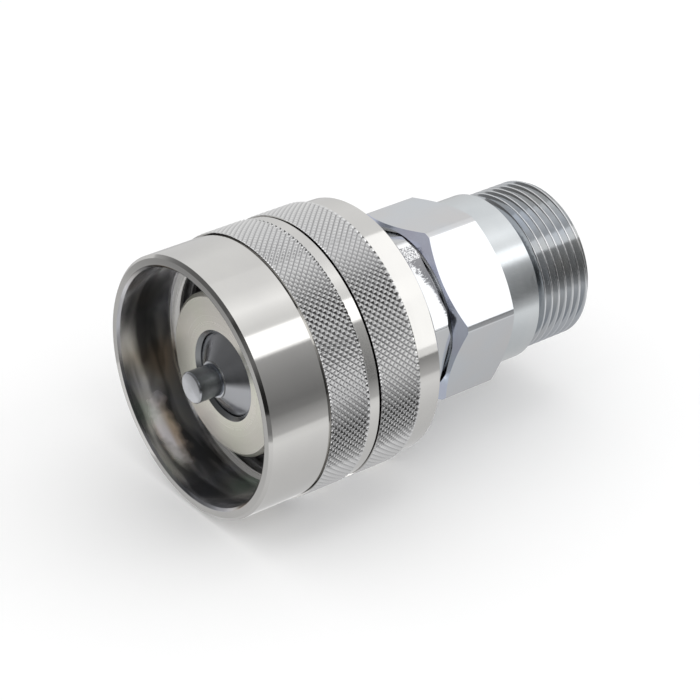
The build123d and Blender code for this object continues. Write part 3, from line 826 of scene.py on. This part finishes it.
def make_adapter():
    """The second hexagon with its neck, its threaded port and the cone in the port's mouth."""
    front_rise = (ADAPTER_CORNER_R - ADAPTER_FACE_R) * HEX_SLOPE
    rear_rise = (ADAPTER_CORNER_R - NECK_R) * HEX_SLOPE
    blank = bar_with_flats("port_adapter_turned", [
        (ADAPTER_START, 0), (ADAPTER_START, ADAPTER_SPIGOT_R),
        *groove(ADAPTER_GROOVE, ADAPTER_GROOVE_R, ADAPTER_SPIGOT_R),
        (SEAL_BORE[1], ADAPTER_SPIGOT_R), (ADAPTER_THREAD_START, ADAPTER_THREAD_R),
        (BODY_HEX[1], ADAPTER_THREAD_R), (BODY_HEX[1], ADAPTER_COLLAR_R),
        (ADAPTER_HEX[0], ADAPTER_COLLAR_R), (ADAPTER_HEX[0], ADAPTER_FACE_R),
        (ADAPTER_HEX[0] + front_rise, ADAPTER_CORNER_R),
        (ADAPTER_HEX[1] - rear_rise, ADAPTER_CORNER_R), (ADAPTER_HEX[1], NECK_R),
        (PORT_SHOULDER, NECK_R), (PORT_SHOULDER, PORT_RELIEF_R), (PORT_RELIEF[0], PORT_RELIEF_R),
        (PORT_RELIEF[1], PORT_R), (PORT_END - PORT_CHAMFER, PORT_R),
        (PORT_END, PORT_R - PORT_CHAMFER), (PORT_END, 0),
    ], ADAPTER_FLATS, ADAPTER_CORNER_AT, ADAPTER_EDGE)
    reach = 1                           # of the boring tool past both ends
    machine(blank, turned("adapter_bore", [
        (ADAPTER_START - reach, 0), (ADAPTER_START - reach, PORT_BORE_R),
        (PORT_CONE_START, PORT_BORE_R), (PORT_END, PORT_CONE_R),
        (PORT_END + reach, PORT_CONE_R + reach * HEX_SLOPE), (PORT_END + reach, 0),
    ], closed=False))
    machine(blank, thread_tool(
        "port_die", port_thread_section(), PORT_PITCH, PORT_SHOULDER + PORT_DIE_START,
        PORT_DIE_TURNS, 0.0,
    ))
    dress(blank, "valve_body", adapter_plate, ["port_adapter"])


def make_poppet():
    """The poppet's head: its pin, the face round it and the cone that seats in the nose."""
    piece = turned("poppet_head_turned", [
        (PIN_START, 0), (PIN_START, PIN_R - PIN_CHAMFER), (PIN_START + PIN_CHAMFER, PIN_R),
        (PIN_END, PIN_R), (PIN_END, PIN_COLLAR_R), (PIN_END + PIN_COLLAR, PIN_COLLAR_R),
        (POPPET_EDGE, POPPET_R), (POPPET_CONE, POPPET_R), (POPPET_SEAL[0], POPPET_RIM_R),
        (POPPET_SEAL[0], POPPET_SEAL_R), (POPPET_SEAL[1], POPPET_SEAL_R),
        (POPPET_SEAL[1], POPPET_SPIGOT_R), (POPPET_SPIGOT_END, POPPET_SPIGOT_R),
        (POPPET_SPIGOT_END, 0),
    ], edge=POPPET_ROUNDING, closed=False)
    dress(piece, "poppet", poppet_steel, ["poppet_head"])


make_sleeve()
make_lock_ring()
make_body()
make_adapter()
make_poppet()

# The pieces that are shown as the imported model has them
FINISHES = {
    "sleeve_wiper_ring": nitrile, "sleeve_race": bearing_steel, "body_race": bearing_steel,
    "bearing_balls": bearing_steel, "bearing_cage": bronze, "thrust_ring": bearing_steel,
    "nose_o_ring": nitrile, "nose_backup_ring": ptfe, "sleeve_drag_ring": nitrile,
    "poppet_seal": urethane, "poppet_stem": poppet_steel, "valve_guide": poppet_steel,
    "guide_bush": bronze, "guide_snap_ring": spring_steel, "poppet_spring": spring_steel,
    "adapter_o_ring": nitrile, "adapter_backup_ring": ptfe,
}
for name, finish in FINISHES.items():
    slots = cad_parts[name].data.materials
    slots.clear()
    slots.append(finish)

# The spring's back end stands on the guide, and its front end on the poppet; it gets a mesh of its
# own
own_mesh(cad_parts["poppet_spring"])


# Studio

FLOOR_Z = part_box("sleeve_lock_ring")[0].z
FLOOR_GAP = 0.2           # under the coupling, in millimetres
FLOOR_HALF = 3.0          # half its side, in metres


def make_floor():
    bm = bmesh.new()
    bmesh.ops.create_grid(bm, x_segments=1, y_segments=1, size=FLOOR_HALF)
    bmesh.ops.translate(bm, verts=bm.verts, vec=(0, 0, FLOOR_Z - FLOOR_GAP * MM))
    floor = as_piece(bm, "studio_floor")
    material, tree, shader = new_material("pale studio floor")
    shader.inputs["Base Color"].default_value = (0.97, 0.97, 0.97, 1)
    shader.inputs["Roughness"].default_value = 0.9
    shader.inputs["Specular IOR Level"].default_value = 0.1
    floor.data.materials.append(material)


# Glowing cards seen by the metal alone, in millimetres: they put painted light and shade into what
# it mirrors. Strips bend round the axis: where each lies along X, and how bright it is at angles
# about the axis.
GLOWING_CARD_R = 250
TOP_GLOW = [(70, 1.06), (86, 1.08), (94, 1.20), (102.5, 1.36), (110, 1.15), (118, 1.0)]
STRIPS = {
    "top_strip": (-20, 82, TOP_GLOW),
    "far_top_strip": (117, 700, TOP_GLOW),
    "shade_strip": (-700, -21, [
        (116, 1.0), (126, 0.92), (140, 0.85), (156, 0.46), (164, 0.10), (176, 0.06), (188, 0.06),
    ]),
    "dark_strip": (-20, 82, [(142, 0.5), (158, 0.36), (180, 0.235), (190, 0.28)]),
    "white_strip": (83, 116, [(77, 1.6), (181, 1.6)]),
    "grey_strip": (117, 160, [(142, 0.55), (165, 0.36), (180, 0.24), (190, 0.29)]),
    "far_strip": (161, 700, [(140, 0.55), (152, 0.25), (166, 0.08), (190, 0.08)]),
    "back_strip": (-130, 900, [(-10, 0.72), (6, 0.80), (22, 0.88), (40, 1.0)]),
}
STRIP_STEPS = 24
STRIP_MARGIN = 5          # angles are counted from this far below a strip's low end

# Flat cards on the floor: the axis that each one's glow runs along, where it lies on the other
# one, how high over the floor, and how bright it is at places along its own axis
ALONG_X, ALONG_Y = 0, 1
FLOOR_CARDS = {
    "floor_card": (ALONG_Y, (-1500, 1500), 0.3, [
        (-250, 0.26), (-150, 0.44), (-101, 0.62), (-97, 0.92), (-80, 1.0), (-62, 0.90),
        (-45, 0.78), (-20, 0.66), (0, 0.61), (400, 0.62),
    ]),
    "front_floor_card": (ALONG_X, (-700, 400), 0.6, [
        (-700, 0.03), (-205, 0.04), (-177, 0.16), (-160, 0.36), (-146, 0.50),
    ]),
    "shade_floor_card": (ALONG_Y, (-700, -66), 0.9, [(-700, 0.08), (-80, 0.24)]),
    "under_card": (ALONG_Y, (-92, -73), 1.2, [(-18, 0.66), (-14, 1.0), (-7, 0.90), (1, 0.61)]),
    "rim_card": (ALONG_Y, (-124, -99.5), 1.2, [(22, 0.95), (68, 0.85)]),
    "rear_under_card": (ALONG_Y, (-73, -44), 1.5, [
        (-17, 0.62), (-14.5, 1.9), (-10, 1.7), (-6, 1.1), (1, 0.61),
    ]),
}

# The card that stands before the mouth, and how bright it is along Y
FRONT_CARD_X = -260
FRONT_CARD_HEIGHT = 480
FRONT_GLOW = [
    (-500, 0.05), (-150, 0.015), (-130, 0.02), (-100, 0.20), (-70, 0.12), (-35, 0.05), (-12, 0.17),
    (0, 0.12), (75, 0.155), (180, 0.16), (400, 0.26), (600, 0.42), (1300, 0.55),
]

# A small square glowing card that the pin and the nose mirror
WINDOW_AT = (-211, -169, 169)
WINDOW_FACING = (0.525, 0.6, -0.6)
WINDOW_HALF = 40
WINDOW_GLOW = [(-230, 1.8), (-110, 1.8)]


def place_along(axis):
    """The place along an axis, in millimetres."""
    def place_on(tree, parts):
        return times(tree, parts[axis], 1 / MM)

    return place_on


def angle_from(low):
    """The angle about the axis, counted on from just under a strip's low end."""
    start = low - STRIP_MARGIN
    turn_angle = radians(start)

    def place_on(tree, parts):
        turned_y = plus(
            tree, times(tree, parts[1], cos(turn_angle)), times(tree, parts[2], sin(turn_angle)),
        )
        turned_z = minus(
            tree, times(tree, parts[2], cos(turn_angle)), times(tree, parts[1], sin(turn_angle)),
        )
        angle = calc(tree, "ARCTAN2", turned_z, turned_y)
        return plus(tree, times(tree, angle, 180 / pi), start)

    return place_on


def glow_card(card, place_on, glow):
    """Makes a card glow: place_on gives the place on it, and glow how bright it is there."""
    material, tree, shader = new_material(card.name.replace("_", " "))
    first, last = glow[0][0], glow[-1][0]
    share = remap(tree, place_on(tree, axes_of(tree, object_place(tree))), first, last)
    brightest = max(value for _, value in glow)
    shown = ramp(tree, share, [
        ((spot - first) / (last - first), (value / brightest,) * 3) for spot, value in glow
    ])
    glowing = node(tree, "ShaderNodeEmission", {"Color": shown, "Strength": brightest})
    tree.links.new(glowing.outputs[0], tree.nodes["Material Output"].inputs[0])
    tree.nodes.remove(shader)
    card.data.materials.append(material)
    card.visible_camera = False
    card.visible_diffuse = False
    card.visible_shadow = False


def strip(name, start, end, glow):
    """A card that bends round the axis between two places along X."""
    bm = bmesh.new()
    low, high = radians(glow[0][0]), radians(glow[-1][0])
    edge = [
        bm.verts.new((spot * MM, GLOWING_CARD_R * MM * cos(low), GLOWING_CARD_R * MM * sin(low)))
        for spot in (start, end)
    ]
    line = bm.edges.new(edge)
    bmesh.ops.spin(
        bm, geom=edge + [line], cent=(0, 0, 0), axis=(1, 0, 0), angle=high - low, steps=STRIP_STEPS,
    )
    glow_card(as_piece(bm, name), angle_from(glow[0][0]), glow)


def floor_card(name, axis, across, lift, glow):
    """A card that lies just over the floor."""
    span = (glow[0][0], glow[-1][0])
    over_x, over_y = (span, across) if axis == ALONG_X else (across, span)
    bm = bmesh.new()
    bmesh.ops.create_grid(bm, x_segments=1, y_segments=1, size=0.5)
    bmesh.ops.scale(
        bm, verts=bm.verts, vec=((over_x[1] - over_x[0]) * MM, (over_y[1] - over_y[0]) * MM, 1),
    )
    middle = (sum(over_x) / 2 * MM, sum(over_y) / 2 * MM, FLOOR_Z + lift * MM)
    bmesh.ops.translate(bm, verts=bm.verts, vec=middle)
    glow_card(as_piece(bm, name), place_along(axis), glow)


def front_card():
    bm = bmesh.new()
    edge = [
        bm.verts.new((FRONT_CARD_X * MM, spot * MM, FLOOR_Z))
        for spot in (FRONT_GLOW[0][0], FRONT_GLOW[-1][0])
    ]
    line = bm.edges.new(edge)
    raised = bmesh.ops.extrude_edge_only(bm, edges=[line])["geom"]
    bmesh.ops.translate(
        bm, verts=[v for v in raised if isinstance(v, bmesh.types.BMVert)],
        vec=(0, 0, FRONT_CARD_HEIGHT * MM),
    )
    glow_card(as_piece(bm, "front_card"), place_along(ALONG_Y), FRONT_GLOW)


def window_card():
    bm = bmesh.new()
    bmesh.ops.create_grid(bm, x_segments=1, y_segments=1, size=WINDOW_HALF * MM)
    facing = Vector(WINDOW_FACING).to_track_quat("Z", "Y").to_matrix()
    bmesh.ops.rotate(bm, verts=bm.verts, cent=(0, 0, 0), matrix=facing)
    bmesh.ops.translate(bm, verts=bm.verts, vec=Vector(WINDOW_AT) * MM)
    glow_card(as_piece(bm, "window_card"), place_along(ALONG_Y), WINDOW_GLOW)


def make_glowing_cards():
    for name, (start, end, glow) in STRIPS.items():
        strip(name, start, end, glow)
    for name, (axis, across, lift, glow) in FLOOR_CARDS.items():
        floor_card(name, axis, across, lift, glow)
    front_card()
    window_card()


ROOM_WHITE = 1.0          # as the camera and the metal see it
ROOM_LIGHT = 0.94         # as it lights everything else
WHITE = (1, 1, 1, 1)


def make_room():
    """A white room for the camera and the metal, and a plainer light on everything else."""
    world = bpy.data.worlds.new("studio room")
    bpy.context.scene.world = world
    world.use_nodes = True
    tree = world.node_tree
    tree.nodes.clear()
    ray = node(tree, "ShaderNodeLightPath").outputs
    seen = calc(tree, "MAXIMUM", ray["Is Camera Ray"], ray["Is Glossy Ray"])
    seen = calc(tree, "MAXIMUM", seen, ray["Is Transmission Ray"])
    light = node(tree, "ShaderNodeBackground", {"Color": WHITE, "Strength": ROOM_LIGHT})
    white = node(tree, "ShaderNodeBackground", {"Color": WHITE, "Strength": ROOM_WHITE})
    mixed = node(tree, "ShaderNodeMixShader", {0: seen, 1: light.outputs[0], 2: white.outputs[0]})
    out = node(tree, "ShaderNodeOutputWorld")
    tree.links.new(mixed.outputs[0], out.inputs[0])


# Softboxes lie along the axis, in metres from it
SOFTBOX_DISTANCE = 1.2
SOFTBOX_LENGTH = 3.0
SOFTBOX_X = 0.3
SOFTBOX_WATTS = 4         # for a square metre of brightness 1


def softbox(name, degree, width, brightness, mirrored=True):
    """A long softbox at an angle about the axis, whose width in degrees is seen from there."""
    data = bpy.data.lights.new(name.replace("_", " "), "AREA")
    data.shape = "RECTANGLE"
    data.size = SOFTBOX_LENGTH
    data.size_y = 2 * SOFTBOX_DISTANCE * tan(radians(width / 2))
    data.energy = brightness * data.size * data.size_y * SOFTBOX_WATTS
    lamp = bpy.data.objects.new(name, data)
    turn_angle = radians(degree)
    lamp.location = (
        SOFTBOX_X, SOFTBOX_DISTANCE * cos(turn_angle), SOFTBOX_DISTANCE * sin(turn_angle),
    )
    lamp.rotation_euler = (turn_angle - pi / 2, 0, 0)
    lamp.visible_camera = False
    lamp.visible_glossy = mirrored
    bpy.context.scene.collection.objects.link(lamp)


CAMERA_AT = (-0.39527, -0.45524, 0.32961)
CAMERA_HEADING = radians(52.5)      # of its view, from +X towards +Y
CAMERA_DIP = radians(30.36)
CAMERA_LENS = 136.85
CAMERA_SENSOR = 36.0


def make_camera():
    data = bpy.data.cameras.new("camera")
    data.lens = CAMERA_LENS
    data.sensor_width = CAMERA_SENSOR
    data.clip_start = 0.01
    camera = bpy.data.objects.new("camera", data)
    view = Vector((
        cos(CAMERA_DIP) * cos(CAMERA_HEADING), cos(CAMERA_DIP) * sin(CAMERA_HEADING),
        -sin(CAMERA_DIP),
    ))
    camera.location = CAMERA_AT
    camera.rotation_euler = view.to_track_quat("-Z", "Y").to_euler()
    bpy.context.scene.collection.objects.link(camera)
    bpy.context.scene.camera = camera


make_floor()
make_glowing_cards()
make_room()
softbox("front_softbox", degree=131, width=19, brightness=0.70)
softbox("overhead_softbox", degree=101, width=16, brightness=0.35, mirrored=False)
make_camera()
bpy.context.scene.view_settings.view_transform = "Standard"
